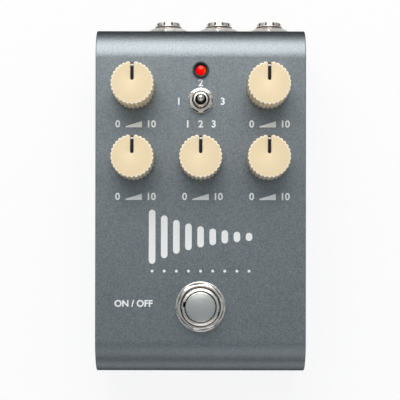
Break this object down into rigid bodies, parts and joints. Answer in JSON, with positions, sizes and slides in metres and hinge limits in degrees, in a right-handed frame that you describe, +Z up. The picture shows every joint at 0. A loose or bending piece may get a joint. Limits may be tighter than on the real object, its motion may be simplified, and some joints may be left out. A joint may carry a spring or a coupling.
{
  "type": "tape echo pedal",
  "caption": "Compact effects pedal: cast case with rolled front and rear edges, fluted knobs, small toggle, lamp, sprung footswitch and jacks at the rear.",
  "frame": {"origin": "under the middle of the part's box, on the surface that the feet stand on", "axes": "+X right, +Y to the rear, where the jacks are, +Z up through the panel"},
  "size_m": [0.067, 0.1138, 0.0445],
  "materials": {
    "case_paint": "satin",
    "plate_paint": "satin",
    "nickel_plate": "polished",
    "satin_metal": "satin",
    "shaft_aluminium": "satin",
    "screw_steel": "satin",
    "spring_steel": "satin",
    "cream_plastic": "satin",
    "black_plastic": "satin",
    "dark_plastic": "matte",
    "capacitor_sleeve": "satin",
    "lead_sleeve": "satin",
    "foot_rubber": "matte",
    "lamp_lens": "gloss",
    "board_laminate": "satin"
  },
  "bodies": {
    "housing": {"top_shell": "case_paint", "bottom_plate": "plate_paint", "case_screw_front_left": "screw_steel", "rubber_foot_front_left": "foot_rubber", "case_screw_front_right": "screw_steel", "rubber_foot_front_right": "foot_rubber", "case_screw_rear_left": "screw_steel", "rubber_foot_rear_left": "foot_rubber", "case_screw_rear_right": "screw_steel", "rubber_foot_rear_right": "foot_rubber", "pot_body_rear_left": "dark_plastic", "pot_body_rear_right": "dark_plastic", "pot_body_front_left": "dark_plastic", "pot_body_front_middle": "dark_plastic", "pot_body_front_right": "dark_plastic", "main_board": "board_laminate", "signal_processor": "dark_plastic", "supply_capacitor": "capacitor_sleeve", "toggle_body": "nickel_plate", "toggle_washer": "nickel_plate", "toggle_nut": "nickel_plate", "indicator_lamp": "lamp_lens", "lamp_bezel": "black_plastic", "footswitch_body": "nickel_plate", "footswitch_washer": "nickel_plate", "footswitch_nut": "nickel_plate", "footswitch_spring": "spring_steel", "switch_lead": "lead_sleeve", "power_inlet": "dark_plastic", "jack_body_left": "nickel_plate", "jack_nut_left": "nickel_plate", "jack_body_middle": "nickel_plate", "jack_nut_middle": "nickel_plate", "jack_body_right": "nickel_plate", "jack_nut_right": "nickel_plate"},
    "knob_rear_left": {"knob_grip_rear_left": "cream_plastic", "knob_core_rear_left": "black_plastic", "pot_shaft_rear_left": "shaft_aluminium"},
    "knob_rear_right": {"knob_grip_rear_right": "cream_plastic", "knob_core_rear_right": "black_plastic", "pot_shaft_rear_right": "shaft_aluminium"},
    "knob_front_left": {"knob_grip_front_left": "cream_plastic", "knob_core_front_left": "black_plastic", "pot_shaft_front_left": "shaft_aluminium"},
    "knob_front_middle": {"knob_grip_front_middle": "cream_plastic", "knob_core_front_middle": "black_plastic", "pot_shaft_front_middle": "shaft_aluminium"},
    "knob_front_right": {"knob_grip_front_right": "cream_plastic", "knob_core_front_right": "black_plastic", "pot_shaft_front_right": "shaft_aluminium"},
    "toggle_lever": {"toggle_lever": "nickel_plate"},
    "footswitch_button": {"footswitch_button": "satin_metal"}
  },
  "joints": [
    {"name": "knob_rear_left_turn", "type": "hinge", "parent": "housing", "child": "knob_rear_left", "pos_m": [-0.0213, 0.0334, 0.0326], "axis": [0, 0, 1], "range_deg": [-150, 150]},
    {"name": "knob_rear_right_turn", "type": "hinge", "parent": "housing", "child": "knob_rear_right", "pos_m": [0.0213, 0.0334, 0.0326], "axis": [0, 0, 1], "range_deg": [-150, 150]},
    {"name": "knob_front_left_turn", "type": "hinge", "parent": "housing", "child": "knob_front_left", "pos_m": [-0.0213, 0.0107, 0.0326], "axis": [0, 0, 1], "range_deg": [-150, 150]},
    {"name": "knob_front_middle_turn", "type": "hinge", "parent": "housing", "child": "knob_front_middle", "pos_m": [0, 0.0107, 0.0326], "axis": [0, 0, 1], "range_deg": [-150, 150]},
    {"name": "knob_front_right_turn", "type": "hinge", "parent": "housing", "child": "knob_front_right", "pos_m": [0.0213, 0.0107, 0.0326], "axis": [0, 0, 1], "range_deg": [-150, 150]},
    {"name": "toggle_tilt", "type": "hinge", "parent": "housing", "child": "toggle_lever", "pos_m": [0, 0.0294, 0.0333], "axis": [0, 1, 0], "range_deg": [-12, 12]},
    {"name": "footswitch_press", "type": "slide", "parent": "housing", "child": "footswitch_button", "axis": [0, 0, -1], "range_m": [0, 0.002], "stiffness_N_per_m": 1000, "springref_m": -0.003, "deforming": ["footswitch_spring"]}
  ]
}
